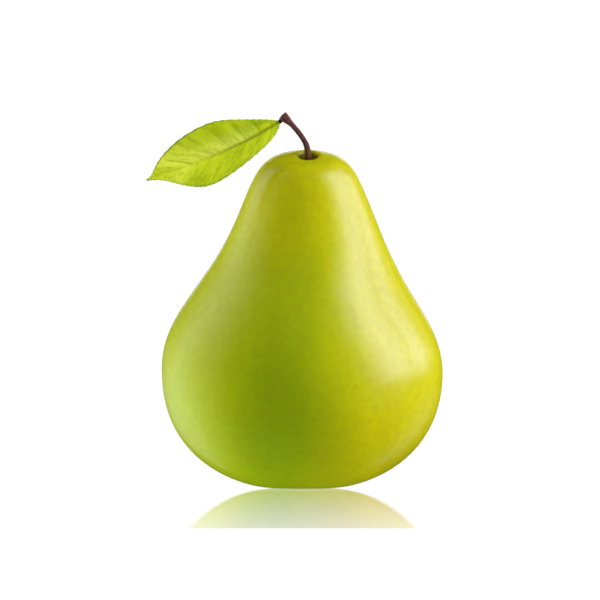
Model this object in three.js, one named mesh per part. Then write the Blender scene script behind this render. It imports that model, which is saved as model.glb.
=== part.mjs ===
// A fresh pear, standing upright, with its woody stem and one leaf.
// Millimetres, +Z up, -Y to the front. The origin is the middle of the whole thing's base:
// the leaf reaches further left than the fruit does right, so the fruit stands a little right of it.

import * as THREE from 'three';

// Where the fruit's own axis stands
const FRUIT_AXIS_X = 2.05;

// Fruit: its outline, from the base up
const FOOT_INNER_RADIUS = 13.2;
const FOOT_RADIUS = 16.6;
const HEEL_ANGLE = THREE.MathUtils.degToRad(13);
const HEEL_REACH = 8.5;
const HEEL_RISE = 21.5;
const BELLY_RADIUS = 40;
const BELLY_HEIGHT = 31.6;
const FLANK_LOW_REACH = 14.5;
const FLANK_HIGH_REACH = 19.1;
const NECK_RADIUS = 21.6;
const NECK_HEIGHT = 71;
const NECK_ANGLE = THREE.MathUtils.degToRad(23.7);
const SHOULDER_REACH = 17.6;
const CROWN_REACH = 10.4;
const CROWN_HEIGHT = 93.4;

// Fruit: how it departs from a turned shape
const LEAN = 1.05;
const LEAN_FROM = 52;
const LEAN_TO = 77;
const BEND = 4;
const BEND_FROM = 56;
const SWAY = -0.4;
const SWAY_HEIGHT = 47;
const SWAY_REACH = 18;
const LOBES = 5;
const LOBE_SHARE = 0.024;
const LOBE_TOP = 42;
const LOBE_PHASE = THREE.MathUtils.degToRad(18);
const OVAL_SHARE = 0.008;
const TRIPLE_SHARE = 0.004;

// Fruit: the well that the stem stands in
const WELL_CREST_RADIUS = 4.1;
const WELL_MOUTH_RADIUS = 2.15;
const WELL_MOUTH_DROP = 2.3;
const WELL_FLOOR_RADIUS = 1.65;
const WELL_DEPTH = 4.9;
const WELL_SHIFT_X = 0.65;
const WELL_SHIFT_Y = 0.5;
const WELL_LIP_RISE = 1;
const WELL_LIP_REACH = 7.5;
const WELL_LIP_ROUNDING = 1.4;
const WELL_LIP_TUCK = 0.3;

// Fruit: the basin round the old flower
const BASIN_DEPTH = 5.2;
const BASIN_FLOOR_SHARE = 0.35;
const BASIN_RIM_SHARE = 0.3;
const SEAT_RADIUS = 3.4;
const SEAT_DEPTH = 1.5;

// Calyx: dried sepals round the eye of the old flower
const TOUCHING_GAP = 0.3;
const COLLAR_TOP_INSET = 0.5;
const COLLAR_ROOT_INSET = 0.2;
const SEPALS = 5;
const SEPAL_REACH = 6.7;
const SEPAL_VALLEY_RADIUS = 3.2;
const SEPAL_DROOP = 2.1;
const SEPAL_THICKNESS = 0.7;
const SEPAL_SHARPNESS = 1.5;
const SEPAL_STATIONS = [
  { droop: 0.3, spread: 0.35 },
  { droop: 0.7, spread: 0.75 },
  { droop: 1, spread: 1 },
];
const EYE_RADIUS = 1.5;
const EYE_DEPTH = 0.9;
const EYE_DROP = 0.4;
const EYE_SLOPE = 0.6;
const EYE_ROUNDING = 0.2;
const EYE_TAPER = 0.4;

// Stem: its line from the well to the knob, measured from the fruit's axis
const STEM_LINE = [
  [1.7, -2.7, 88.8],
  [1.65, -3.4, 93.7],
  [1.2, -3.85, 96.6],
  [-0.1, -4.25, 99.05],
  [-2.6, -4.9, 102.25],
  [-5.6, -5.5, 105.25],
];
const STEM_RADIUS = 0.73;
const STEM_FOOT_FLARE = 0.32;
const STEM_FOOT_FROM = 0.2;
const STEM_FOOT_TO = 0.5;
const STEM_KNOB_FLARE = 0.85;
const STEM_KNOB_FROM = 0.78;
const STEM_RIDGES = 5;
const STEM_RIDGE_SHARE = 0.05;
const KNOB_SCAR_DEPTH = 0.25;

// Leaf: its midrib from the petiole to the tip, measured from the fruit's axis
const MIDRIB_START = [-6, -7.5, 104];
const MIDRIB_START_PULL = [-12.2, -9, 98.5];
const MIDRIB_END_PULL = [-38, -11, 88.4];
const MIDRIB_END = [-44.1, -13.5, 87.7];
const LEAF_FACE_TILT = THREE.MathUtils.degToRad(36);
const BASE_FOLD = THREE.MathUtils.degToRad(12);
const TIP_FOLD = THREE.MathUtils.degToRad(6.5);
const LEAF_THICKNESS = 0.66;
const PETIOLE_LENGTH = 0.9;
const PETIOLE_RADIUS = 0.6;
const VEIN_PAIRS = 8;
const VEIN_LAG = 1.4;
const PILLOW_HEIGHT = 0.4;
const PILLOW_SHARPNESS = 0.7;
const PILLOW_FROM = 0.2;
const PILLOW_TO = 0.7;
const PILLOW_LEAST_WIDTH = 1;
const PILLOW_FULL_WIDTH = 5;
const TOOTH_COUNT = 24;
const TOOTH_DEPTH = 0.18;
const TOOTH_PEAK = 0.7;
const TOOTH_FROM = 0.8;
const MARGIN_WAVE = 0.5;
const MARGIN_WAVES = 2.3;
const WAVE_FULL_WIDTH = 8;
const RIB_DEPTH = 0.6;
const RIB_THINNING = 0.7;
const RIB_HALF_WIDTH = 0.7;

// Leaf: the edge of each half of its blade, above and below the midrib. Places along the blade
// are shares of its length; the pulls shape the edge at the base, the widest place and the tip.
const BLADE_BASE_WIDTH = 0.4;
const UPPER_HALF = {
  width: 9.3,
  widest: 0.48,
  basePull: { along: 0, out: 1 },
  widestPulls: { before: 0.25, after: 0.9 },
  tipPull: { along: 0.91, out: 0.3 },
};
const LOWER_HALF = {
  width: 8.9,
  widest: 0.62,
  basePull: { along: 0.11, out: 6 },
  widestPulls: { before: 0.53, after: 0.77 },
  tipPull: { along: 0.82, out: 0.4 },
};

// How finely the curved faces are divided
const FRUIT_SIDES = 64;
const BASIN_STEPS = 6;
const HEEL_STEPS = 9;
const FLANK_STEPS = 8;
const SHOULDER_STEPS = 9;
const LIP_STEPS = 4;
const STEM_SIDES = 15;
const STEM_STEPS = 26;
const CALYX_SIDES = 50;
const BLADE_STEPS = 48;
const PETIOLE_STEPS = 3;
const BLADE_ACROSS = [0, 0.1, 0.28, 0.46, 0.64, 0.82, 1];

const finishes = {
  fruit: new THREE.MeshStandardMaterial({ color: 0xa9b61f, roughness: 0.38, metalness: 0 }),
  stem: new THREE.MeshStandardMaterial({ color: 0x4c211c, roughness: 0.75, metalness: 0 }),
  leaf: new THREE.MeshStandardMaterial({ color: 0xa4bf1c, roughness: 0.5, metalness: 0 }),
  calyx: new THREE.MeshStandardMaterial({ color: 0x5b4528, roughness: 0.9, metalness: 0 }),
};

const smooth = THREE.MathUtils.smoothstep;
const lerp = THREE.MathUtils.lerp;

// A closed solid through a run of rings, drawn to a point at each end. The rings turn
// right-handed about the way the run goes. Turned steps split their faces the other way.
function ringSolid(start, rings, end, isTurned = () => false) {
  const sides = rings[0].length;
  const points = [start, ...rings.flat(), end];
  const last = points.length - 1;
  const at = (ring, step) => 1 + ring * sides + (step % sides);
  const faces = [];
  for (let step = 0; step < sides; step++) {
    faces.push(0, at(0, step + 1), at(0, step));
    for (let ring = 0; ring < rings.length - 1; ring++) {
      const [a, b] = [at(ring, step), at(ring, step + 1)];
      const [c, d] = [at(ring + 1, step + 1), at(ring + 1, step)];
      faces.push(...(isTurned(step) ? [a, b, d, b, c, d] : [a, b, c, a, c, d]));
    }
    faces.push(last, at(rings.length - 1, step), at(rings.length - 1, step + 1));
  }
  const geometry = new THREE.BufferGeometry().setFromPoints(points);
  geometry.setIndex(faces);
  geometry.computeVertexNormals();
  return geometry;
}

// Points of a smooth stretch of outline, without its last one
function stretch(from, fromPull, toPull, to, steps) {
  const ends = [from, fromPull, toPull, to].map(([r, z]) => new THREE.Vector2(r, z));
  return new THREE.CubicBezierCurve(...ends).getPoints(steps).slice(0, -1);
}

function part(name, geometry) {
  const mesh = new THREE.Mesh(geometry, finishes[name]);
  mesh.name = name;
  return mesh;
}

// Radius and height, from the seat of the calyx, round the outside, to the floor of the well
function fruitOutline() {
  const footInner = [FOOT_INNER_RADIUS, 0];
  const foot = [FOOT_RADIUS, 0];
  const belly = [BELLY_RADIUS, BELLY_HEIGHT];
  const neck = [NECK_RADIUS, NECK_HEIGHT];
  const crest = [WELL_CREST_RADIUS, CROWN_HEIGHT];
  const mouthHeight = CROWN_HEIGHT - WELL_MOUTH_DROP;
  const mouth = [WELL_MOUTH_RADIUS, mouthHeight];
  const floorEdge = [WELL_FLOOR_RADIUS, CROWN_HEIGHT - WELL_DEPTH];
  const seatEdge = [SEAT_RADIUS, BASIN_DEPTH];
  const alongNeck = (reach) => [
    NECK_RADIUS - reach * Math.sin(NECK_ANGLE),
    NECK_HEIGHT + reach * Math.cos(NECK_ANGLE),
  ];
  const heelPull = [
    FOOT_RADIUS + HEEL_REACH * Math.cos(HEEL_ANGLE),
    HEEL_REACH * Math.sin(HEEL_ANGLE),
  ];
  const basinSpan = FOOT_INNER_RADIUS - SEAT_RADIUS;
  return [
    new THREE.Vector2(SEAT_RADIUS, BASIN_DEPTH + SEAT_DEPTH),
    ...stretch(seatEdge, [SEAT_RADIUS + BASIN_FLOOR_SHARE * basinSpan, BASIN_DEPTH],
      [FOOT_INNER_RADIUS - BASIN_RIM_SHARE * basinSpan, 0], footInner, BASIN_STEPS),
    new THREE.Vector2(...footInner),
    ...stretch(foot, heelPull, [BELLY_RADIUS, BELLY_HEIGHT - HEEL_RISE], belly, HEEL_STEPS),
    ...stretch(belly, [BELLY_RADIUS, BELLY_HEIGHT + FLANK_LOW_REACH],
      alongNeck(-FLANK_HIGH_REACH), neck, FLANK_STEPS),
    ...stretch(neck, alongNeck(SHOULDER_REACH), [WELL_CREST_RADIUS + CROWN_REACH, CROWN_HEIGHT],
      crest, SHOULDER_STEPS),
    ...stretch(crest, [WELL_CREST_RADIUS - WELL_LIP_ROUNDING, CROWN_HEIGHT],
      [WELL_MOUTH_RADIUS + WELL_LIP_TUCK, mouthHeight + WELL_LIP_ROUNDING], mouth, LIP_STEPS),
    new THREE.Vector2(...mouth),
    new THREE.Vector2(...floorEdge),
  ];
}

// A point of the turned shape, moved to where the grown fruit has it
function fruitPoint(radius, height, angle) {
  const lobe = LOBE_SHARE * (1 - smooth(height, 0, LOBE_TOP)) * Math.cos(LOBES * (angle - LOBE_PHASE));
  const middle = smooth(height, 0, BELLY_HEIGHT) * (1 - smooth(height, NECK_HEIGHT, CROWN_HEIGHT));
  const oval = middle * (OVAL_SHARE * Math.sin(2 * angle) + TRIPLE_SHARE * Math.sin(3 * angle));
  const grown = radius * (1 + lobe + oval);

  const isCrown = height > NECK_HEIGHT;
  const well = isCrown ? 1 - smooth(radius, WELL_MOUTH_RADIUS, WELL_LIP_REACH) : 0;
  const lip = well * smooth(height, CROWN_HEIGHT - WELL_DEPTH, CROWN_HEIGHT - WELL_LIP_ROUNDING);
  const lifted = WELL_LIP_RISE * lip * (0.5 + 0.5 * Math.sin(angle));

  const swayed = Math.max(0, 1 - ((height - SWAY_HEIGHT) / SWAY_REACH) ** 2);
  const bent = Math.max(0, (height - BEND_FROM) / (CROWN_HEIGHT - BEND_FROM));
  const tilt = Math.atan((2 * BEND * bent) / (CROWN_HEIGHT - BEND_FROM));
  const across = grown * Math.sin(angle) + WELL_SHIFT_Y * well;
  return new THREE.Vector3(
    LEAN * smooth(height, LEAN_FROM, LEAN_TO) + SWAY * swayed ** 2 + WELL_SHIFT_X * well
      + grown * Math.cos(angle),
    across * Math.cos(tilt) - BEND * bent ** 2,
    height + lifted + across * Math.sin(tilt),
  );
}

function makeFruit() {
  const rings = fruitOutline().map(({ x: radius, y: height }) =>
    Array.from({ length: FRUIT_SIDES }, (_, side) =>
      fruitPoint(radius, height, (side / FRUIT_SIDES) * 2 * Math.PI)));
  const seatRoof = fruitPoint(0, BASIN_DEPTH + SEAT_DEPTH, 0);
  const wellFloor = fruitPoint(0, CROWN_HEIGHT - WELL_DEPTH, 0);
  return part('fruit', ringSolid(seatRoof, rings, wellFloor));
}

// Five sepals drawn out of a small collar: each ring is a star that fades into a circle
function makeCalyx() {
  const roof = BASIN_DEPTH + SEAT_DEPTH - TOUCHING_GAP;
  const collar = SEAT_RADIUS - TOUCHING_GAP;
  const root = BASIN_DEPTH - TOUCHING_GAP;
  const under = root - SEPAL_THICKNESS - EYE_DROP;
  const upperFace = SEPAL_STATIONS.map(({ droop, spread }) => ({
    height: root - SEPAL_DROOP * droop,
    spread,
  }));
  const underFace = upperFace.toReversed().map(({ height, spread }) => ({
    height: height - SEPAL_THICKNESS,
    spread,
  }));
  const profile = [
    { radius: collar - COLLAR_TOP_INSET, height: roof },
    { radius: collar - COLLAR_ROOT_INSET, height: root },
    ...upperFace,
    ...underFace,
    { radius: EYE_RADIUS + EYE_SLOPE, height: under },
    { radius: EYE_RADIUS, height: under + EYE_ROUNDING },
    { radius: EYE_RADIUS - EYE_TAPER, height: under + EYE_DEPTH },
  ];
  const star = (angle) => Math.abs(Math.cos((SEPALS / 2) * angle)) ** SEPAL_SHARPNESS;
  const rings = profile.map(({ radius, height, spread }) =>
    Array.from({ length: CALYX_SIDES }, (_, side) => {
      const angle = -(side / CALYX_SIDES) * 2 * Math.PI;
      const reach = lerp(SEPAL_VALLEY_RADIUS, SEPAL_REACH, star(angle));
      const distance = radius ?? lerp(collar - COLLAR_ROOT_INSET, reach, spread);
      return new THREE.Vector3(distance * Math.cos(angle), distance * Math.sin(angle), height);
    }));
  const top = new THREE.Vector3(0, 0, roof);
  const eye = new THREE.Vector3(0, 0, under + EYE_DEPTH);
  return part('calyx', ringSolid(top, rings, eye));
}

function makeStem() {
  const line = new THREE.CatmullRomCurve3(STEM_LINE.map((point) => new THREE.Vector3(...point)));
  const frames = line.computeFrenetFrames(STEM_STEPS);
  const rings = [];
  for (let step = 0; step <= STEM_STEPS; step++) {
    const share = step / STEM_STEPS;
    const foot = STEM_FOOT_FLARE * (1 - smooth(share, STEM_FOOT_FROM, STEM_FOOT_TO));
    const knob = STEM_KNOB_FLARE * smooth(share, STEM_KNOB_FROM, 1);
    const centre = line.getPointAt(share);
    rings.push(Array.from({ length: STEM_SIDES }, (_, side) => {
      const angle = (side / STEM_SIDES) * 2 * Math.PI;
      const ridge = 1 + STEM_RIDGE_SHARE * Math.cos(STEM_RIDGES * angle);
      const radius = STEM_RADIUS * (1 + foot + knob) * ridge;
      return centre.clone()
        .addScaledVector(frames.normals[step], radius * Math.cos(angle))
        .addScaledVector(frames.binormals[step], radius * Math.sin(angle));
    }));
  }
  const knobEnd = line.getPointAt(1).addScaledVector(frames.tangents[STEM_STEPS], -KNOB_SCAR_DEPTH);
  return part('stem', ringSolid(line.getPointAt(0), rings, knobEnd));
}

// The midrib's line, and the leaf's own directions at a distance along it
function leafFrame() {
  const ends = [MIDRIB_START, MIDRIB_START_PULL, MIDRIB_END_PULL, MIDRIB_END];
  const line = new THREE.CubicBezierCurve3(...ends.map((point) => new THREE.Vector3(...point)));
  const length = line.getLength();
  const facing = new THREE.Vector3(0, -Math.cos(LEAF_FACE_TILT), Math.sin(LEAF_FACE_TILT));
  const at = (along) => {
    const tangent = line.getTangentAt(along / length);
    const face = facing.clone().addScaledVector(tangent, -facing.dot(tangent)).normalize();
    const side = tangent.clone().cross(face);
    return { centre: line.getPointAt(along / length), face, side };
  };
  return { length, at };
}

// The outline of one half of the blade: distance along the blade, and width of the half there
function bladeEdge(bladeLength, { width, widest, basePull, widestPulls, tipPull }) {
  const place = (along, out) => [along * bladeLength, out];
  const broad = place(widest, width);
  const steps = BLADE_STEPS / 2;
  return [
    ...stretch(place(0, BLADE_BASE_WIDTH), place(basePull.along, basePull.out),
      place(widestPulls.before, width), broad, steps),
    ...stretch(broad, place(widestPulls.after, width), place(tipPull.along, tipPull.out),
      place(1, 0), steps),
  ];
}

function tooth(share) {
  const place = (share * TOOTH_COUNT) % 1;
  return place < TOOTH_PEAK ? place / TOOTH_PEAK : (1 - place) / (1 - TOOTH_PEAK);
}

function makeLeaf() {
  const { length, at } = leafFrame();
  const bladeLength = length - PETIOLE_LENGTH;
  const perFace = 2 * BLADE_ACROSS.length - 1;
  const perRing = 2 * perFace;

  // Round section of the petiole, with as many points as the blade's section
  const petiolePoint = (along, step) => {
    const { centre, face, side } = at(along);
    const angle = ((step + 0.5) / perRing) * 2 * Math.PI;
    return centre
      .addScaledVector(side, -PETIOLE_RADIUS * Math.cos(angle))
      .addScaledVector(face, PETIOLE_RADIUS * Math.sin(angle));
  };

  // A point of the blade: which half, how far out, and whether on the upper face
  const bladePoint = (share, edge, half, out, isUpper) => {
    const veinRoot = bladeLength * share ** VEIN_LAG;
    const { centre, face, side } = at(PETIOLE_LENGTH + lerp(veinRoot, edge.x, out));
    const reach = edge.y * out + TOOTH_DEPTH * tooth(share) * smooth(out, TOOTH_FROM, 1);
    const open = smooth(out, 0, PILLOW_FROM) * (1 - smooth(out, PILLOW_TO, 1))
      * smooth(edge.y, PILLOW_LEAST_WIDTH, PILLOW_FULL_WIDTH);
    const betweenVeins = Math.abs(Math.sin(Math.PI * VEIN_PAIRS * share)) ** PILLOW_SHARPNESS;
    const waving = Math.sin(MARGIN_WAVES * 2 * Math.PI * share + half);
    const wave = MARGIN_WAVE * out ** 2 * waving * smooth(edge.y, 0, WAVE_FULL_WIDTH);
    const rib = RIB_DEPTH * (1 - RIB_THINNING * share) * Math.exp(-((reach / RIB_HALF_WIDTH) ** 2));
    const fold = lerp(BASE_FOLD, TIP_FOLD, share);
    const lift = reach * Math.sin(fold) + PILLOW_HEIGHT * betweenVeins * open + wave;
    const faceOffset = isUpper ? LEAF_THICKNESS / 2 : -LEAF_THICKNESS / 2 - rib;
    return centre
      .addScaledVector(side, half * reach * Math.cos(fold))
      .addScaledVector(face, lift + faceOffset);
  };

  // Across the upper face from the lower half's edge, then back across the under face
  const across = [
    ...BLADE_ACROSS.slice(1).reverse().map((out) => ({ half: -1, out })),
    ...BLADE_ACROSS.map((out) => ({ half: 1, out })),
  ];
  const section = [
    ...across.map((place) => ({ ...place, isUpper: true })),
    ...across.toReversed().map((place) => ({ ...place, isUpper: false })),
  ];

  const rings = [];
  for (let step = 0; step < PETIOLE_STEPS; step++) {
    const along = (step / PETIOLE_STEPS) * PETIOLE_LENGTH;
    rings.push(section.map((_, place) => petiolePoint(along, place)));
  }
  const upperEdge = bladeEdge(bladeLength, UPPER_HALF);
  const lowerEdge = bladeEdge(bladeLength, LOWER_HALF);
  for (let step = 0; step < BLADE_STEPS; step++) {
    const share = step / BLADE_STEPS;
    rings.push(section.map(({ half, out, isUpper }) => {
      const edge = half > 0 ? upperEdge[step] : lowerEdge[step];
      return bladePoint(share, edge, half, out, isUpper);
    }));
  }
  const isUnderFace = (step) => step >= perFace;
  return part('leaf', ringSolid(at(0).centre, rings, at(length).centre, isUnderFace));
}

const pear = new THREE.Group();
pear.position.x = FRUIT_AXIS_X;
pear.add(makeFruit(), makeCalyx(), makeStem(), makeLeaf());

const whole = new THREE.Group();
whole.add(pear);

export default whole;
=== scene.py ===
"""A fresh pear with its stem and leaf, on a pale floor in soft studio light.

Shapes are worked out in millimetres round the fruit's own axis, and set down in metres where the
frame has them.
"""

import math

import bpy
import numpy as np
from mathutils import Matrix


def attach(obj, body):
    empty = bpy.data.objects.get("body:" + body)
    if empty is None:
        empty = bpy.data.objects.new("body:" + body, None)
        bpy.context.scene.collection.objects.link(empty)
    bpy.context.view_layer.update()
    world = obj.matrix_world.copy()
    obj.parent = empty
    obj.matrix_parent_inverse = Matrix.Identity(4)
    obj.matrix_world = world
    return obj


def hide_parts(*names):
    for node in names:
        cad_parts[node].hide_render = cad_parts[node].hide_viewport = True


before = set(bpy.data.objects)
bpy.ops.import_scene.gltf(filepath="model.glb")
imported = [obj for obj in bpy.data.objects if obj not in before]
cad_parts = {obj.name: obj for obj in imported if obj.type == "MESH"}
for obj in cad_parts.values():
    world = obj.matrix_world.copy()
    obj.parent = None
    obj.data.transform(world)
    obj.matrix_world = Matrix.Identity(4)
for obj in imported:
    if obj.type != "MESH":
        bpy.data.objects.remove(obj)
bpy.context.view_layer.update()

MM = 0.001

# Where the fruit's own axis stands, in millimetres
FRUIT_AXIS_X = 2.05

# Camera: the photograph's frame, and the place on the fruit that it centres on
FRAME_PIXELS = 600
MM_PER_PIXEL = 80 / 281
CAMERA_LENS = 500
SENSOR = 36
CAMERA_ELEVATION = math.radians(6)
CENTRE = (1.4, 0.0, 52.1)

# Room under the foot, so that it doesn't lie in the plane of the floor
FLOOR_GAP = 0.05

# Fruit outline
FOOT_INNER_RADIUS = 13.2
FOOT_RADIUS = 16.6
HEEL_ANGLE = math.radians(13)
HEEL_REACH = 8.5
HEEL_RISE = 21.5
BELLY_RADIUS = 40.0
BELLY_HEIGHT = 31.6
FLANK_LOW_REACH = 14.5
FLANK_HIGH_REACH = 19.1
NECK_RADIUS = 21.6
NECK_HEIGHT = 71.0
NECK_ANGLE = math.radians(23.7)
SHOULDER_REACH = 17.6
CROWN_REACH = 10.4
CROWN_HEIGHT = 93.4

# How the fruit departs from a turned shape
LEAN, LEAN_FROM, LEAN_TO = 1.05, 52.0, 77.0
BEND, BEND_FROM = 4.0, 56.0
SWAY, SWAY_HEIGHT, SWAY_REACH = -0.4, 47.0, 18.0
LOBES, LOBE_SHARE, LOBE_TOP = 5, 0.024, 42.0
LOBE_PHASE = math.radians(18)
OVAL_SHARE, TRIPLE_SHARE = 0.008, 0.004

# The well that the stem stands in
WELL_CREST_RADIUS = 4.1
WELL_MOUTH_RADIUS, WELL_MOUTH_DROP = 2.15, 2.3
WELL_FLOOR_RADIUS, WELL_DEPTH = 1.65, 4.9
WELL_SHIFT_X, WELL_SHIFT_Y = 0.65, 0.5
WELL_LIP_RISE, WELL_LIP_REACH = 1.0, 7.5
WELL_LIP_ROUNDING, WELL_LIP_TUCK = 1.4, 0.3

# The basin round the old flower
BASIN_DEPTH = 5.2
SEAT_RADIUS, SEAT_DEPTH = 3.4, 1.5

# Calyx
TOUCHING_GAP = 0.3
SEPALS = 5
SEPAL_REACH, SEPAL_VALLEY_RADIUS = 6.7, 3.2
SEPAL_DROOP, SEPAL_THICKNESS, SEPAL_SHARPNESS = 2.1, 0.7, 1.5
EYE_RADIUS, EYE_DEPTH = 1.5, 0.9

# Stem
STEM_LINE = ((1.7, -2.7, 88.8), (1.65, -3.4, 93.7), (1.2, -3.85, 96.6), (-0.1, -4.25, 99.05),
             (-2.6, -4.9, 102.25), (-5.6, -5.5, 105.25))
STEM_RADIUS, STEM_FOOT_FLARE, STEM_KNOB_FLARE = 0.73, 0.32, 0.85
STEM_RIDGES, STEM_RIDGE_SHARE = 5, 0.05
KNOB_SCAR_DEPTH = 0.25

# Leaf
MIDRIB_START = (-6, -7.5, 104)
MIDRIB_START_PULL = (-12.2, -9, 98.5)
MIDRIB_END_PULL = (-38, -11, 88.4)
MIDRIB_END = (-44.1, -13.5, 87.7)
LEAF_FACE_TILT = math.radians(36)
BASE_FOLD, TIP_FOLD = math.radians(12), math.radians(6.5)
LEAF_THICKNESS = 0.66
PETIOLE_LENGTH, PETIOLE_RADIUS = 0.9, 0.6
VEIN_PAIRS, VEIN_LAG = 8, 1.4
PILLOW_HEIGHT, PILLOW_SHARPNESS = 0.4, 0.7
PILLOW_FROM, PILLOW_TO = 0.2, 0.7
PILLOW_LEAST_WIDTH, PILLOW_FULL_WIDTH = 1, 5
TOOTH_COUNT, TOOTH_DEPTH, TOOTH_PEAK, TOOTH_FROM = 24, 0.18, 0.7, 0.8
MARGIN_WAVE, MARGIN_WAVES, WAVE_FULL_WIDTH = 0.5, 2.3, 8
RIB_DEPTH, RIB_THINNING, RIB_HALF_WIDTH = 0.6, 0.7, 0.7

# The edge of each half of the blade: its greatest width, and as shares of the blade's length
# the widest place, and the pulls at the base, on both sides of the widest place, and at the tip
BLADE_BASE_WIDTH = 0.4
UPPER_HALF = {"width": 9.3, "widest": 0.48, "base": (0, 1), "before": 0.25, "after": 0.9,
              "tip": (0.91, 0.3)}
LOWER_HALF = {"width": 8.9, "widest": 0.62, "base": (0.11, 6), "before": 0.53, "after": 0.77,
              "tip": (0.82, 0.4)}


def smooth(value, low, high):
    share = np.clip((value - low) / (high - low), 0, 1)
    return share * share * (3 - 2 * share)


def bezier(start, start_pull, end_pull, end, steps):
    """Points of a cubic curve, both ends included."""
    t = np.linspace(0, 1, steps + 1)[:, None]
    a, b, c, d = (np.array(point, float) for point in (start, start_pull, end_pull, end))
    return (1 - t) ** 3 * a + 3 * (1 - t) ** 2 * t * b + 3 * (1 - t) * t * t * c + t ** 3 * d


def ring_solid(name, start, rings, end):
    """A closed piece through a run of rings, drawn to a point at each end."""
    rings = np.asarray(rings)
    count, sides = rings.shape[:2]
    points = np.vstack([[start], rings.reshape(-1, 3), [end]])
    points[:, 0] += FRUIT_AXIS_X
    at = 1 + np.arange(count * sides).reshape(count, sides)
    after = np.roll(at, -1, axis=1)
    last = len(points) - 1
    walls = np.stack([at[:-1], after[:-1], after[1:], at[1:]], -1).reshape(-1, 4)
    faces = walls.tolist()
    faces += [[0, after[0, side], at[0, side]] for side in range(sides)]
    faces += [[last, at[-1, side], after[-1, side]] for side in range(sides)]
    mesh = bpy.data.meshes.new(name)
    mesh.from_pydata((points * MM).tolist(), [], faces)
    mesh.shade_smooth()
    piece = bpy.data.objects.new(name, mesh)
    bpy.context.scene.collection.objects.link(piece)
    return piece


def mark(piece, name, start, rings, end):
    """Keeps a number or a vector for each point of a ring solid, for its finish to read."""
    values = np.asarray(rings, float)
    is_vector = values.ndim == 3
    kind, field = ("FLOAT_VECTOR", "vector") if is_vector else ("FLOAT", "value")
    rows = values.reshape(-1, 3) if is_vector else values.reshape(-1)
    every = np.concatenate([[start], rows, [end]]).astype(float)
    attribute = piece.data.attributes.new(name, kind, "POINT")
    attribute.data.foreach_set(field, every.ravel())


def settle(piece, node):
    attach(piece, "root")
    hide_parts(node)


class Wire:
    """A socket in a finish; arithmetic on it adds Math nodes."""

    def __init__(self, finish, socket):
        self.finish = finish
        self.socket = socket

    def math(self, operation, *values):
        return self.finish.node("ShaderNodeMath", {"operation": operation}, dict(enumerate(values)))

    def __add__(self, other):
        return self.math("ADD", self, other)

    def __sub__(self, other):
        return self.math("SUBTRACT", self, other)

    def __rsub__(self, other):
        return self.math("SUBTRACT", other, self)

    def __mul__(self, other):
        return self.math("MULTIPLY", self, other)

    def __truediv__(self, other):
        return self.math("DIVIDE", self, other)

    def __pow__(self, other):
        return self.math("POWER", self, other)

    __radd__ = __add__
    __rmul__ = __mul__


class Finish:
    """A material that is built node by node."""

    def __init__(self, name):
        self.material = bpy.data.materials.new(name)
        self.material.use_nodes = True
        self.tree = self.material.node_tree
        self.tree.nodes.clear()

    def node(self, kind, settings=None, sockets=None, out=0):
        made = self.tree.nodes.new(kind)
        for name, value in (settings or {}).items():
            if name == "stops":
                self.set_stops(made.color_ramp, value)
            else:
                setattr(made, name, value)
        for key, value in (sockets or {}).items():
            if isinstance(value, Wire):
                self.tree.links.new(value.socket, made.inputs[key])
            else:
                made.inputs[key].default_value = value
        return Wire(self, made.outputs[out]) if made.outputs else None

    def set_stops(self, ramp, stops):
        for _ in range(len(stops) - len(ramp.elements)):
            ramp.elements.new(0.5)
        for element, (place, colour) in zip(ramp.elements, stops):
            element.position = place
            element.color = (*colour, 1)

    def place(self):
        return self.node("ShaderNodeTexCoord", out="Object")

    def across(self, vector):
        """The three parts of a vector."""
        split = self.node("ShaderNodeSeparateXYZ", sockets={0: vector})
        return [Wire(self, split.socket.node.outputs[axis]) for axis in range(3)]

    def stretched(self, vector, scale):
        return self.node("ShaderNodeVectorMath", {"operation": "MULTIPLY"}, {0: vector, 1: scale})

    def kept(self, name, out="Fac"):
        return self.node("ShaderNodeAttribute", {"attribute_name": name}, out=out)

    def step(self, value, low, high):
        """0 below low, 1 above high, smooth between. low may be above high."""
        return self.node("ShaderNodeMapRange", {"interpolation_type": "SMOOTHSTEP"},
                         {"Value": value, "From Min": low, "From Max": high})

    def noise(self, vector, scale, detail=2.0, roughness=0.5, distortion=0.0):
        return self.node("ShaderNodeTexNoise", None, {
            "Vector": vector, "Scale": scale, "Detail": detail, "Roughness": roughness,
            "Distortion": distortion})

    def cells(self, vector, scale, feature="F1", randomness=1.0, out="Distance"):
        return self.node("ShaderNodeTexVoronoi", {"feature": feature},
                         {"Vector": vector, "Scale": scale, "Randomness": randomness}, out)

    def mix(self, factor, first, second, blend="MIX"):
        """One colour towards another."""
        sockets = {0: factor}
        for key, colour in ((6, first), (7, second)):
            sockets[key] = colour if isinstance(colour, Wire) else (*colour, 1)
        return self.node("ShaderNodeMix", {"data_type": "RGBA", "blend_type": blend}, sockets, 2)

    def bump(self, height, depth, under=None):
        sockets = {"Height": height, "Distance": depth, "Strength": 1.0}
        if under is not None:
            sockets["Normal"] = under
        return self.node("ShaderNodeBump", None, sockets)

    def surface(self, other=None, share=0, **sockets):
        """Ends the finish in a Principled shader, with a share of another one where it is given.

        Underscores in socket names stand for spaces.
        """
        named = {name.replace("_", " "): value for name, value in sockets.items()}
        shader = self.node("ShaderNodeBsdfPrincipled", None, named)
        if other is not None:
            shader = self.node("ShaderNodeMixShader", None, {0: share, 1: shader, 2: other})
        self.node("ShaderNodeOutputMaterial", None, {"Surface": shader})
        return self.material


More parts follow.
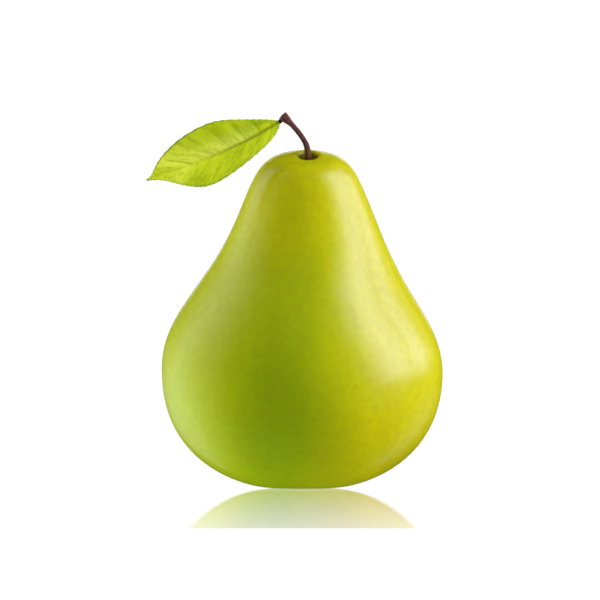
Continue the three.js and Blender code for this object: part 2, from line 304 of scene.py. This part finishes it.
def add_camera():
    data = bpy.data.cameras.new("camera")
    data.lens = CAMERA_LENS
    data.sensor_width = SENSOR
    data.clip_end = 100
    camera = bpy.data.objects.new("camera", data)
    distance = FRAME_PIXELS * MM_PER_PIXEL * MM * CAMERA_LENS / SENSOR
    back = np.array([0, -math.cos(CAMERA_ELEVATION), math.sin(CAMERA_ELEVATION)])
    camera.location = np.array(CENTRE) * MM + distance * back
    camera.rotation_euler = (math.pi / 2 - CAMERA_ELEVATION, 0, 0)
    bpy.context.scene.collection.objects.link(camera)
    bpy.context.scene.camera = camera


# Fruit

def fruit_outline():
    """Radius and height, from the seat of the calyx, round the outside, to the floor of the well."""
    foot_inner = (FOOT_INNER_RADIUS, 0)
    foot = (FOOT_RADIUS, 0)
    belly = (BELLY_RADIUS, BELLY_HEIGHT)
    neck = (NECK_RADIUS, NECK_HEIGHT)
    crest = (WELL_CREST_RADIUS, CROWN_HEIGHT)
    mouth = (WELL_MOUTH_RADIUS, CROWN_HEIGHT - WELL_MOUTH_DROP)
    floor_edge = (WELL_FLOOR_RADIUS, CROWN_HEIGHT - WELL_DEPTH)
    seat_edge = (SEAT_RADIUS, BASIN_DEPTH)
    basin_span = FOOT_INNER_RADIUS - SEAT_RADIUS
    heel_pull = (FOOT_RADIUS + HEEL_REACH * math.cos(HEEL_ANGLE), HEEL_REACH * math.sin(HEEL_ANGLE))

    def along_neck(reach):
        return (NECK_RADIUS - reach * math.sin(NECK_ANGLE), NECK_HEIGHT + reach * math.cos(NECK_ANGLE))

    stretches = [
        np.linspace((SEAT_RADIUS, BASIN_DEPTH + SEAT_DEPTH), seat_edge, 5),
        bezier(seat_edge, (SEAT_RADIUS + 0.35 * basin_span, BASIN_DEPTH),
               (FOOT_INNER_RADIUS - 0.3 * basin_span, 0), foot_inner, 20),
        np.linspace(foot_inner, foot, 4),
        bezier(foot, heel_pull, (BELLY_RADIUS, BELLY_HEIGHT - HEEL_RISE), belly, 44),
        bezier(belly, (BELLY_RADIUS, BELLY_HEIGHT + FLANK_LOW_REACH), along_neck(-FLANK_HIGH_REACH),
               neck, 44),
        bezier(neck, along_neck(SHOULDER_REACH), (WELL_CREST_RADIUS + CROWN_REACH, CROWN_HEIGHT),
               crest, 48),
        bezier(crest, (WELL_CREST_RADIUS - WELL_LIP_ROUNDING, CROWN_HEIGHT),
               (WELL_MOUTH_RADIUS + WELL_LIP_TUCK, mouth[1] + WELL_LIP_ROUNDING), mouth, 14),
        np.linspace(mouth, floor_edge, 8),
    ]
    return np.vstack([stretch[:-1] for stretch in stretches] + [[floor_edge]])


def fruit_points(radius, height, angle):
    """Points of the turned shape, moved to where the grown fruit has them."""
    lobe = LOBE_SHARE * (1 - smooth(height, 0, LOBE_TOP)) * np.cos(LOBES * (angle - LOBE_PHASE))
    middle = smooth(height, 0, BELLY_HEIGHT) * (1 - smooth(height, NECK_HEIGHT, CROWN_HEIGHT))
    oval = middle * (OVAL_SHARE * np.sin(2 * angle) + TRIPLE_SHARE * np.sin(3 * angle))
    grown = radius * (1 + lobe + oval)

    well = np.where(height > NECK_HEIGHT, 1 - smooth(radius, WELL_MOUTH_RADIUS, WELL_LIP_REACH), 0)
    lip = well * smooth(height, CROWN_HEIGHT - WELL_DEPTH, CROWN_HEIGHT - WELL_LIP_ROUNDING)
    lifted = WELL_LIP_RISE * lip * (0.5 + 0.5 * np.sin(angle))

    swayed = np.clip(1 - ((height - SWAY_HEIGHT) / SWAY_REACH) ** 2, 0, None)
    bent = np.clip((height - BEND_FROM) / (CROWN_HEIGHT - BEND_FROM), 0, None)
    tilt = np.arctan(2 * BEND * bent / (CROWN_HEIGHT - BEND_FROM))
    across = grown * np.sin(angle) + WELL_SHIFT_Y * well
    x = LEAN * smooth(height, LEAN_FROM, LEAN_TO) + SWAY * swayed ** 2 + WELL_SHIFT_X * well
    return np.stack([
        x + grown * np.cos(angle),
        across * np.cos(tilt) - BEND * bent ** 2,
        height + lifted + across * np.sin(tilt),
    ], -1)


def make_fruit():
    sides = 288
    outline = fruit_outline()
    radius, height = outline[:, :1], outline[:, 1:]
    angle = np.linspace(0, 2 * math.pi, sides, endpoint=False)[None, :]
    rings = fruit_points(radius + 0 * angle, height + 0 * angle, angle + 0 * radius)
    zero = np.zeros(1)
    roof = fruit_points(zero, zero + BASIN_DEPTH + SEAT_DEPTH, zero)[0]
    floor = fruit_points(zero, zero + CROWN_HEIGHT - WELL_DEPTH, zero)[0]
    fruit = ring_solid("pear_fruit", roof, rings, floor)
    fruit.data.set_sharp_from_angle(angle=math.radians(50))
    sunk = np.where(radius < WELL_CREST_RADIUS, (CROWN_HEIGHT - height) / WELL_DEPTH, 0)
    inside = np.where(height > NECK_HEIGHT, sunk, 0) + 0 * angle
    mark(fruit, "well", 1.0, inside, 1.0)
    fruit.data.materials.append(skin_finish())
    settle(fruit, "fruit")


def skin_finish():
    """Waxy skin: green on the left, yellow on the right and at the crown, with small dark pores."""
    skin = Finish("waxy_skin")
    place = skin.place()
    x, y, z = skin.across(place)
    drift = skin.noise(place, 22, 3)
    ripe = x * 1000 + (drift - 0.5) * 20
    yellow = skin.step(ripe, -2, 28)
    high = skin.step(z + (drift - 0.5) * 0.02, 0.015, 0.088)
    spread_left = 0.55 + skin.step(ripe, -22, -4) * 0.32
    warm = yellow + (1 - yellow) * high * spread_left

    fresh = skin.mix(skin.noise(place, 60, 4), (0.29, 0.475, 0.001), (0.35, 0.535, 0.001))
    green = skin.mix(skin.step(ripe, -8, -26) * 0.6, fresh, (0.42, 0.52, 0.001))
    gold = skin.mix(skin.noise(place, 45, 4), (0.59, 0.57, 0.001), (0.64, 0.62, 0.001))
    # Painted shade: where the skin faces right, under the right-hand highlight, its gold is made
    # darker
    faces_right = skin.across(skin.node("ShaderNodeTexCoord", out="Normal"))[0]
    highlight_dimming = skin.step(faces_right, 0.42, 0.62)
    highlight_dimmed = skin.mix(highlight_dimming * 0.9, skin.mix(warm, green, gold), (0.525, 0.505, 0.001))
    # Painted shade: a darker green band down the middle of the belly
    middle = skin.step(ripe, -20, -6) * skin.step(ripe, 10, -2)
    belly = skin.step(z, 0.01, 0.024) * skin.step(z, 0.074, 0.058)
    centre_shaded = skin.mix(middle * belly * 0.36, highlight_dimmed, (0.235, 0.385, 0.001))

    # Pores: small darker spots, each in its own cell, in a little more than half the cells
    spread = skin.cells(place, 330)
    kind = skin.across(skin.cells(place, 330, out="Color"))[0]
    shown = skin.step(kind, 0.42, 0.5)
    pore = skin.step(spread, 0.16, 0.07) * shown
    halo = skin.step(spread, 0.34, 0.12) * shown
    spotted = skin.mix(pore * 0.15 + halo * 0.05, centre_shaded, (0.2, 0.24, 0.01))

    # Russet in the well, which also darkens the well's walls as painted shade, and russet in the basin
    # round the calyx
    rough_edge = skin.noise(place, 500, 3)
    well_russet_and_shade = skin.step(skin.kept("well") + (rough_edge - 0.5) * 0.12, -0.15, 0.25)
    from_axis = skin.node("ShaderNodeVectorMath", {"operation": "LENGTH"},
                          {0: skin.stretched(place, (1, 1, 0))}, out="Value")
    below = skin.step(z, 0.009, 0.004)
    eye = skin.step(from_axis * 1000 + (rough_edge - 0.5) * 5, 9.5, 5) * below
    cork = skin.mix(rough_edge, (0.12, 0.1, 0.003), (0.22, 0.175, 0.008))
    corky = well_russet_and_shade + (1 - well_russet_and_shade) * eye * 0.7
    dull = skin.node("ShaderNodeBsdfPrincipled", None, {
        "Base Color": cork, "Roughness": 1.0, "Specular IOR Level": 0.0})

    # Relief: faint unevenness, fine grain and sunken pores
    uneven = skin.noise(place, 90, 2)
    grain = skin.noise(place, 1400, 2)
    relief = uneven * 0.5 + grain * 0.03 - pore * 0.05 + halo * 0.02
    return skin.surface(
        dull, corky,
        Base_Color=spotted,
        Roughness=0.2 + (drift - 0.5) * 0.06,
        Normal=skin.bump(relief, 0.0004),
        Subsurface_Weight=0.12,
        Subsurface_Radius=(1.0, 0.8, 0.1),
        Subsurface_Scale=0.003,
        IOR=1.5,
        Specular_IOR_Level=0.12,
    )


# Calyx

def make_calyx():
    sides = 240
    roof = BASIN_DEPTH + SEAT_DEPTH - TOUCHING_GAP
    collar = SEAT_RADIUS - TOUCHING_GAP
    root = BASIN_DEPTH - TOUCHING_GAP
    tip = root - SEPAL_DROOP
    under = root - SEPAL_THICKNESS - 0.4
    angle = -np.linspace(0, 2 * math.pi, sides, endpoint=False)
    star = np.abs(np.cos(SEPALS / 2 * angle)) ** SEPAL_SHARPNESS
    reach = SEPAL_VALLEY_RADIUS + (SEPAL_REACH - SEPAL_VALLEY_RADIUS) * star
    crease = 0.16 * star * np.cos(SEPALS * 4 * angle)

    def ring(distance, height, wrinkle=0.0):
        distance = distance + 0 * angle
        return np.stack([distance * np.cos(angle), distance * np.sin(angle),
                         height + wrinkle * crease], -1)

    out = np.linspace(0, 1, 9)[1:]
    spread = [(collar - 0.2 + (reach - collar + 0.2) * share, root - SEPAL_DROOP * share ** 1.2, share)
              for share in out]
    rings = [ring(collar - 0.5, roof), ring(collar - 0.2, root)]
    rings += [ring(distance, height, share) for distance, height, share in spread]
    rings += [ring(distance, height - SEPAL_THICKNESS, share)
              for distance, height, share in reversed(spread)]
    rings += [ring(EYE_RADIUS + 0.6, under), ring(EYE_RADIUS, under + 0.2),
              ring(EYE_RADIUS - 0.4, under + EYE_DEPTH)]
    calyx = ring_solid("pear_calyx", (0, 0, roof), rings, (0, 0, under + EYE_DEPTH))
    calyx.data.materials.append(dry_sepal_finish())
    settle(calyx, "calyx")


def dry_sepal_finish():
    sepal = Finish("dry_sepal")
    place = sepal.place()
    fibre = sepal.noise(place, 900, 4, 0.65)
    patch = sepal.noise(place, 240, 2)
    brown = sepal.mix(fibre, (0.035, 0.018, 0.008), (0.2, 0.125, 0.055))
    return sepal.surface(
        Base_Color=sepal.mix(patch * 0.6, brown, (0.1, 0.09, 0.03)),
        Roughness=0.8 + (fibre - 0.5) * 0.2,
        Normal=sepal.bump(fibre, 0.0003),
    )


# Stem

def smooth_line(points, steps):
    """Evenly spaced points on a centripetal spline through a few, and the way it goes at each."""
    knots = [np.array(point, float) for point in points]
    knots = [2 * knots[0] - knots[1]] + knots + [2 * knots[-1] - knots[-2]]
    found = []
    for a, b, c, d in zip(knots, knots[1:], knots[2:], knots[3:]):
        t0, t1 = 0, np.linalg.norm(b - a) ** 0.5
        t2 = t1 + np.linalg.norm(c - b) ** 0.5
        t3 = t2 + np.linalg.norm(d - c) ** 0.5
        t = np.linspace(t1, t2, 40)[:, None]
        a1 = (t1 - t) / (t1 - t0) * a + (t - t0) / (t1 - t0) * b
        a2 = (t2 - t) / (t2 - t1) * b + (t - t1) / (t2 - t1) * c
        a3 = (t3 - t) / (t3 - t2) * c + (t - t2) / (t3 - t2) * d
        b1 = (t2 - t) / (t2 - t0) * a1 + (t - t0) / (t2 - t0) * a2
        b2 = (t3 - t) / (t3 - t1) * a2 + (t - t1) / (t3 - t1) * a3
        found.append((t2 - t) / (t2 - t1) * b1 + (t - t1) / (t2 - t1) * b2)
    line = np.vstack([piece[:-1] for piece in found] + [found[-1][-1:]])
    return evenly(line, steps)


def evenly(line, steps):
    along = np.concatenate([[0], np.cumsum(np.linalg.norm(np.diff(line, axis=0), axis=1))])
    wanted = np.linspace(0, along[-1], steps + 1)
    spaced = np.stack([np.interp(wanted, along, line[:, axis]) for axis in range(3)], -1)
    way = np.gradient(spaced, axis=0)
    return spaced, way / np.linalg.norm(way, axis=1)[:, None], along[-1]


def make_stem():
    sides, steps = 60, 200
    line, way, length = smooth_line(STEM_LINE, steps)
    share = np.linspace(0, 1, steps + 1)[:, None]
    angle = np.linspace(0, 2 * math.pi, sides, endpoint=False)[None, :]
    front = np.array([0, -1, 0]) + 0 * way
    front -= (front * way).sum(1)[:, None] * way
    front /= np.linalg.norm(front, axis=1)[:, None]
    side = np.cross(way, front)

    foot = STEM_FOOT_FLARE * (1 - smooth(share, 0.2, 0.5))
    knob = STEM_KNOB_FLARE * smooth(share, 0.78, 1)
    ridge = STEM_RIDGE_SHARE * np.cos(STEM_RIDGES * angle + 2 * share)
    furrow = 0.018 * np.sin(13 * angle + 9 * share) + 0.012 * np.sin(23 * angle - 14 * share)
    knots = sum(0.07 * np.exp(-((share - at) / 0.018) ** 2) for at in (0.43, 0.66))
    worn = 0.05 * smooth(share, 0.93, 1) * np.sin(3 * angle + 1) - 0.12 * smooth(share, 0.985, 1)
    radius = STEM_RADIUS * (1 + foot + knob) * (1 + ridge + furrow + knots + worn)
    rings = (line[:, None] + radius[..., None] * (np.cos(angle)[..., None] * front[:, None]
             + np.sin(angle)[..., None] * side[:, None]))
    knob_end = line[-1] - KNOB_SCAR_DEPTH * way[-1]
    scar = knob_end + 0.5 * (rings[-1] - line[-1])
    rings = np.concatenate([rings, scar[None]])
    stem = ring_solid("pear_stem", line[0], rings, knob_end)
    stem.data.set_sharp_from_angle(angle=math.radians(60))

    full = np.concatenate([share, [[1.0]]])
    turn = np.stack(np.broadcast_arrays(np.cos(angle), np.sin(angle), full * length / 9), -1)
    mark(stem, "grain", (0, 0, 0), turn, (0, 0, full[-1, 0] * length / 9))
    mark(stem, "along", 0.0, full + 0 * angle, 1.0)
    stem.data.materials.append(bark_finish())
    settle(stem, "stem")


def bark_finish():
    """Dark red-brown bark, ribbed lengthwise, tan where it leaves the fruit."""
    bark = Finish("stem_bark")
    grain = bark.kept("grain", "Vector")
    along = bark.kept("along")
    streak = bark.noise(grain, 5.5, 5, 0.6)
    speck = bark.noise(bark.place(), 1500, 3)
    dark = bark.mix(streak, (0.025, 0.007, 0.005), (0.14, 0.05, 0.038))
    patchy = bark.mix(bark.step(speck, 0.56, 0.72) * 0.5, dark, (0.2, 0.1, 0.08))
    tan = bark.step(along, 0.2, 0.26) * bark.step(along, 0.4, 0.3)
    ringed = bark.mix(tan * 0.75, patchy, (0.13, 0.07, 0.012))
    cut = bark.step(along, 0.985, 0.998)
    return bark.surface(
        Base_Color=bark.mix(cut * 0.6, ringed, (0.13, 0.06, 0.04)),
        Roughness=0.7 + (speck - 0.5) * 0.3,
        Specular_IOR_Level=0.04,
        Normal=bark.bump(streak + speck * 0.3, 0.0002),
    )


# Leaf

class Midrib:
    """The leaf's midrib, and the leaf's own directions at distances along it."""

    def __init__(self):
        line = bezier(MIDRIB_START, MIDRIB_START_PULL, MIDRIB_END_PULL, MIDRIB_END, 600)
        self.line, self.way, self.length = evenly(line, 600)
        facing = np.array([0, -math.cos(LEAF_FACE_TILT), math.sin(LEAF_FACE_TILT)])
        face = facing - (self.way @ facing)[:, None] * self.way
        self.face = face / np.linalg.norm(face, axis=1)[:, None]
        self.side = np.cross(self.way, self.face)
        self.places = np.linspace(0, self.length, len(self.line))

    def at(self, along):
        def read(table):
            return np.stack([np.interp(along, self.places, table[:, axis]) for axis in range(3)], -1)
        return read(self.line), read(self.face), read(self.side)


def blade_edge(blade_length, half, steps):
    """The outline of one half: distance along the blade, and the half's width there."""
    width = half["width"]

    def place(along, out):
        return along * blade_length, out

    broad = place(half["widest"], width)
    to_broad = bezier(place(0, BLADE_BASE_WIDTH), place(*half["base"]),
                      place(half["before"], width), broad, steps // 2)
    to_tip = bezier(broad, place(half["after"], width), place(*half["tip"]), place(1, 0), steps // 2)
    return np.vstack([to_broad[:-1], to_tip[:-1]])


def make_leaf():
    steps, per_half = 240, 20
    midrib = Midrib()
    blade_length = midrib.length - PETIOLE_LENGTH
    out_half = np.linspace(0, 1, per_half + 1)
    out = np.concatenate([out_half[:0:-1], out_half])
    half = np.concatenate([-np.ones(per_half), np.ones(per_half + 1)])
    out = np.concatenate([out, out[::-1]])[None, :]
    half = np.concatenate([half, half[::-1]])[None, :]
    upper = (np.arange(out.size) < out.size // 2)[None, :]

    # Petiole
    around = (np.arange(out.size) + 0.5) / out.size * 2 * math.pi
    along = np.linspace(0, PETIOLE_LENGTH, 8, endpoint=False)
    centre, face, side = midrib.at(along)
    petiole = (centre[:, None] - PETIOLE_RADIUS * np.cos(around)[None, :, None] * side[:, None]
               + PETIOLE_RADIUS * np.sin(around)[None, :, None] * face[:, None])

    # Blade
    share = (np.arange(steps) / steps)[:, None]
    above, below = (blade_edge(blade_length, side, steps) for side in (UPPER_HALF, LOWER_HALF))
    edge_along = np.where(half > 0, above[:, :1], below[:, :1])
    width = np.where(half > 0, above[:, 1:], below[:, 1:])
    vein_root = blade_length * share ** VEIN_LAG
    centre, face, side = midrib.at(PETIOLE_LENGTH + vein_root + (edge_along - vein_root) * out)
    place = share * TOOTH_COUNT % 1
    tooth = np.where(place < TOOTH_PEAK, place / TOOTH_PEAK, (1 - place) / (1 - TOOTH_PEAK))
    reach = width * out + TOOTH_DEPTH * tooth * smooth(out, TOOTH_FROM, 1)
    pillow = np.abs(np.sin(math.pi * VEIN_PAIRS * share)) ** PILLOW_SHARPNESS
    pillow = pillow * smooth(out, 0, PILLOW_FROM) * (1 - smooth(out, PILLOW_TO, 1))
    pillow = pillow * smooth(width, PILLOW_LEAST_WIDTH, PILLOW_FULL_WIDTH)
    wave = MARGIN_WAVE * out ** 2 * np.sin(MARGIN_WAVES * 2 * math.pi * share + half)
    wave = wave * smooth(width, 0, WAVE_FULL_WIDTH)
    rib = RIB_DEPTH * (1 - RIB_THINNING * share) * np.exp(-(reach / RIB_HALF_WIDTH) ** 2)
    fold = BASE_FOLD + (TIP_FOLD - BASE_FOLD) * share
    lift = reach * np.sin(fold) + PILLOW_HEIGHT * pillow + wave
    lift = lift + np.where(upper, LEAF_THICKNESS / 2, -LEAF_THICKNESS / 2 - rib)
    blade = (centre + (half * reach * np.cos(fold))[..., None] * side + lift[..., None] * face)

    rings = np.concatenate([petiole, blade])
    leaf = ring_solid("pear_leaf", midrib.line[0], rings, midrib.line[-1])
    leaf.data.set_sharp_from_angle(angle=math.radians(60))

    stalk = np.zeros((len(along), out.size))
    mark(leaf, "vein", 0.0, np.concatenate([stalk, share * VEIN_PAIRS + 0 * out]), VEIN_PAIRS)
    mark(leaf, "out", 0.0, np.concatenate([stalk, out + 0 * share]), 0.0)
    mark(leaf, "reach", 0.0, np.concatenate([stalk, reach]), 0.0)
    mark(leaf, "half", 0.0, np.concatenate([stalk, half + 0 * share]), 0.0)
    mark(leaf, "upper", 1.0, np.concatenate([stalk + upper, upper + 0 * share]), 1.0)
    mark(leaf, "stalk", 1.0, np.concatenate([stalk + 1, 0 * reach]), 0.0)
    leaf.data.materials.append(leaf_finish())
    settle(leaf, "leaf")


def leaf_finish():
    """Fresh green blade with side veins, a fine net between them and a dry tip; a dark midrib line
    that is painted shade of its groove, painted shade along the margin and towards the base, and a
    painted highlight beside the midrib.
    """
    leaf = Finish("leaf_blade")
    place = leaf.place()
    vein = leaf.kept("vein")
    out = leaf.kept("out")
    reach = leaf.kept("reach")
    upper = leaf.kept("upper")
    stalk = leaf.kept("stalk")
    half = leaf.kept("half")

    cell = vein.math("FRACT", vein)
    to_vein = cell.math("MINIMUM", cell, 1 - cell)
    wander = (leaf.noise(place, 260, 3, 0.6) - 0.5) * 0.22
    side_vein = leaf.step(to_vein + wander, 0.2, 0.0) * leaf.step(out, 0.98, 0.7)
    midrib = leaf.step(reach, 0.75, 0.15)
    net = leaf.step(leaf.cells(place, 750, "DISTANCE_TO_EDGE"), 0.16, 0.02)
    mottle = leaf.noise(place, 160, 4, 0.6)
    blotch = leaf.step(leaf.noise(place, 75, 3, 0.6), 0.4, 0.62)
    above = leaf.step(half, 0.2, 0.8)

    flesh = leaf.mix(mottle, (0.34, 0.49, 0.002), (0.52, 0.63, 0.006))
    netted = leaf.mix(net * 0.14, flesh, (0.66, 0.74, 0.03))
    blotched = leaf.mix(blotch * 0.55, netted, (0.66, 0.74, 0.02))
    veined = leaf.mix(side_vein * 0.3, blotched, (0.36, 0.46, 0.004))
    # Painted highlight: a pale band on the upper half beside the midrib, over the middle of the blade
    pale = leaf.step(reach, 6.0, 1.0) * above * leaf.step(vein, 1.6, 3.2) * leaf.step(vein, 7, 4)
    along_veins = leaf.node("ShaderNodeCombineXYZ", None, {0: vein * 2.6, 1: out * 1.3, 2: half * 3})
    streak = leaf.step(leaf.noise(along_veins, 1.6, 4, 0.65), 0.46, 0.66)
    lit = leaf.mix((1 - above) * leaf.step(reach, 7.5, 3) * 0.4, veined, (0.72, 0.84, 0.02))
    towards_tip = above * leaf.step(vein, 3.6, 6.2) + (1 - above) * leaf.step(vein, 5.2, 6.2)
    fading = leaf.mix(towards_tip * leaf.step(vein, 7.4, 6.2) * 0.7, lit, (0.8, 0.9, 0.07))
    highlight_banded = leaf.mix(pale * 0.6, fading, (0.84, 0.9, 0.13))
    streaked = leaf.mix(streak * 0.5, highlight_banded, (0.28, 0.42, 0.002))
    # Painted shade: a dark line along the midrib's groove, fading out towards the tip
    groove_shaded = leaf.mix(midrib * 0.7 * leaf.step(vein, 6.5, 3), streaked, (0.22, 0.28, 0.004))
    # Painted shade: a dark line along the margin, stronger on the upper half from the middle out to
    # the tip
    margin_shade = leaf.step(out, 0.92, 1.0) * (0.4 + above * leaf.step(vein, 2.5, 4.5) * 0.5)
    margin_shaded = leaf.mix(margin_shade, groove_shaded, (0.12, 0.22, 0.004))
    under = leaf.mix(side_vein * 0.6 + midrib * 0.4, (0.34, 0.44, 0.12), (0.5, 0.56, 0.2))
    blade = leaf.mix(upper, under, margin_shaded)
    # Painted shade: the upper half darker towards the base, away from the midrib, and the blade darker
    # still at its very base
    base = leaf.step(vein, 0.9, 0.0)
    far_out = above * leaf.step(reach, 1, 3)
    upper_base_shaded = leaf.mix(far_out * leaf.step(vein, 4.5, 0.8) * 0.65, blade, (0.2, 0.36, 0.001))
    shaded = leaf.mix(base * 0.6, upper_base_shaded, (0.12, 0.22, 0.003))
    dry = leaf.step(vein, 7.7, 7.95)
    tipped = leaf.mix(dry * 0.6, shaded, (0.3, 0.3, 0.12))

    relief = net * -0.06 + side_vein * -0.1 + mottle * 0.15
    return leaf.surface(
        Base_Color=leaf.mix(stalk, tipped, (0.02, 0.015, 0.005)),
        Roughness=0.6 + (mottle - 0.5) * 0.15,
        Specular_IOR_Level=0.02,
        Normal=leaf.bump(relief, 0.0004),
        Subsurface_Weight=0.15,
        Subsurface_Radius=(1.0, 1.0, 0.2),
        Subsurface_Scale=0.001,
    )


# Studio

def add_floor():
    """A pale floor with a polished patch in front, that shows the fruit's lower part."""
    finish = Finish("pale_floor")
    pale = finish.node("ShaderNodeEmission", None, {"Color": (1, 1, 1, 1), "Strength": 1.02})
    mirror = finish.node("ShaderNodeBsdfGlossy", None, {
        "Color": (1.46, 1.3, 1.0, 1), "Roughness": 0.08})
    x, y, _ = finish.across(finish.place())
    toward = y * -1000
    aside = x * 1000 - FRUIT_AXIS_X
    past_foot = toward.math("MAXIMUM", toward - 13, 0) / 71.5
    patch_reach = past_foot ** 0.322 * 29
    inside = finish.step(aside.math("ABSOLUTE", aside) - patch_reach, 1.3, -1.3)
    near_foot = 0.85 + finish.step(toward, 17, 24) * 0.15
    in_front = finish.step(toward, 8, 12) * finish.step(toward, 102, 99.5)
    low_view = finish.step(finish.node("ShaderNodeLayerWeight", out="Facing"), 0.76, 0.85)
    polish = (0.951 - toward * 0.0051) * near_foot * inside * in_front * low_view
    both = finish.node("ShaderNodeMixShader", None, {0: polish, 1: pale, 2: mirror})
    underneath = finish.node("ShaderNodeNewGeometry", out="Backfacing")
    clear = finish.node("ShaderNodeBsdfTransparent")
    one_sided = finish.node("ShaderNodeMixShader", None, {0: underneath, 1: both, 2: clear})
    finish.node("ShaderNodeOutputMaterial", None, {"Surface": one_sided})

    half, low = 30.0, -FLOOR_GAP * MM
    mesh = bpy.data.meshes.new("floor")
    corners = [(-half, -half, low), (half, -half, low), (half, half, low), (-half, half, low)]
    mesh.from_pydata(corners, [], [(0, 1, 2, 3)])
    mesh.materials.append(finish.material)
    floor = bpy.data.objects.new("floor", mesh)
    floor.visible_diffuse = False
    floor.visible_glossy = False
    floor.visible_shadow = False
    bpy.context.scene.collection.objects.link(floor)


def add_panel(name, azimuths, heights, edges, distance, colour, brightness, shade):
    """A curved soft panel that only shows in gloss. Azimuth 0 is the camera's side, 90 is +X.

    It fades in above its bottom and out below its top, over the two edges' heights.
    """
    steps = 24
    start, stop = (math.radians(azimuth) for azimuth in azimuths)
    bottom, top = heights
    vertices = []
    for step in range(steps + 1):
        azimuth = start + (stop - start) * step / steps
        for height in heights:
            vertices.append((distance * math.sin(azimuth), -distance * math.cos(azimuth), height))
    faces = [(2 * step, 2 * step + 1, 2 * step + 3, 2 * step + 2) for step in range(steps)]
    mesh = bpy.data.meshes.new(name)
    mesh.from_pydata(vertices, [], faces)
    panel = bpy.data.objects.new(name, mesh)
    bpy.context.scene.collection.objects.link(panel)
    across = [step / steps for step in range(steps + 1) for _ in heights]
    attribute = mesh.attributes.new("across", "FLOAT", "POINT")
    attribute.data.foreach_set("value", across)

    finish = Finish(name)
    stops = [(place, (level, level, level)) for place, level in shade]
    glow = finish.node("ShaderNodeValToRGB", {"stops": stops}, {0: finish.kept("across")})
    height = finish.across(finish.place())[2]
    faded = finish.step(height, bottom, bottom + edges[0]) * finish.step(height, top, top - edges[1])
    level = finish.across(glow)[0] * faded
    light = finish.node("ShaderNodeEmission", None, {
        "Color": finish.mix(level, (0, 0, 0), colour), "Strength": brightness})
    finish.node("ShaderNodeOutputMaterial", None, {"Surface": light})
    mesh.materials.append(finish.material)
    panel.visible_camera = False
    panel.visible_diffuse = False
    panel.visible_shadow = False


def add_fill(name, azimuth, elevation, distance, size, power):
    """A soft light that only shades, aimed at the fruit."""
    data = bpy.data.lights.new(name, "AREA")
    data.shape = "RECTANGLE"
    data.size, data.size_y = size
    data.energy = power
    light = bpy.data.objects.new(name, data)
    turn, rise = math.radians(azimuth), math.radians(elevation)
    middle = np.array(CENTRE) * MM
    light.location = middle + distance * np.array([
        math.sin(turn) * math.cos(rise), -math.cos(turn) * math.cos(rise), math.sin(rise)])
    light.rotation_euler = (math.pi / 2 - rise, 0, turn)
    light.visible_camera = False
    light.visible_glossy = False
    bpy.context.scene.collection.objects.link(light)


def add_world():
    """Soft light from all round that only shades, with white behind everything."""
    world = bpy.data.worlds.new("studio")
    world.use_nodes = True
    tree = world.node_tree
    tree.nodes.clear()
    path = tree.nodes.new("ShaderNodeLightPath")
    white = tree.nodes.new("ShaderNodeBackground")
    white.inputs["Color"].default_value = (1, 1, 1, 1)
    soft = tree.nodes.new("ShaderNodeBackground")
    soft.inputs["Color"].default_value = (0.41, 0.41, 0.41, 1)
    both = tree.nodes.new("ShaderNodeMixShader")
    output = tree.nodes.new("ShaderNodeOutputWorld")
    tree.links.new(path.outputs["Is Camera Ray"], both.inputs[0])
    tree.links.new(soft.outputs[0], both.inputs[1])
    tree.links.new(white.outputs[0], both.inputs[2])
    tree.links.new(both.outputs[0], output.inputs["Surface"])
    bpy.context.scene.world = world
    world.cycles_visibility.glossy = False


def add_studio():
    add_floor()
    add_world()
    cool = (0.62, 0.62, 1.0)
    add_panel("right_panel", (42, 148), (-0.05, 1.9), (0.19, 1.5), 0.6, (0.52, 0.52, 1.0), 37, [
        (0.0, 0), (0.12, 0.07), (0.22, 0.47), (0.3, 0.9), (0.42, 1), (0.51, 0.7), (0.59, 0.36),
        (0.66, 0.46), (0.73, 0.34), (0.82, 0.06), (0.9, 0.02), (1.0, 0)])
    add_panel("left_panel", (-46, -156), (-0.7, 1.9), (1.1, 1.4), 0.6, cool, 6.2, [
        (0.0, 0), (0.12, 0.02), (0.26, 0.36), (0.43, 0.8), (0.57, 1), (0.66, 0.85), (0.75, 0.42),
        (0.83, 0.14), (0.93, 0.05), (1.0, 0)])
    add_panel("low_left_panel", (-122, -158), (-0.55, 0.12), (0.32, 0.25), 0.6, cool, 19, [
        (0.0, 0), (0.3, 1), (0.75, 1), (1.0, 0)])
    add_panel("low_right_panel", (115, 150), (-0.9, 0.0), (0.3, 0.2), 0.6, cool, 0.6, [
        (0.0, 0), (0.3, 1), (0.8, 1), (1.0, 0)])
    add_panel("back_panel", (164, 196), (0, 3.5), (0.01, 0.01), 10, (1, 1, 1), 1.15, [
        (0.0, 1), (1.0, 1)])
    add_fill("right_fill", 76, 14, 0.6, (0.5, 0.8), 6.0)
    add_fill("right_rim_fill", 130, -6, 0.6, (0.5, 0.8), 2.1)
    add_fill("left_fill", -94, 7, 0.6, (0.5, 0.8), 3.5)
    add_fill("low_left_fill", -110, -35, 0.6, (0.5, 0.5), 2.6)
    add_fill("top_fill", 20, 75, 0.7, (0.8, 0.8), 0.8)
    add_fill("under_fill", -70, -55, 0.6, (0.6, 0.6), 0.9)
    view = bpy.context.scene.view_settings
    view.view_transform = "Standard"
    view.look = "None"


add_camera()
add_studio()
make_fruit()
make_calyx()
make_stem()
make_leaf()
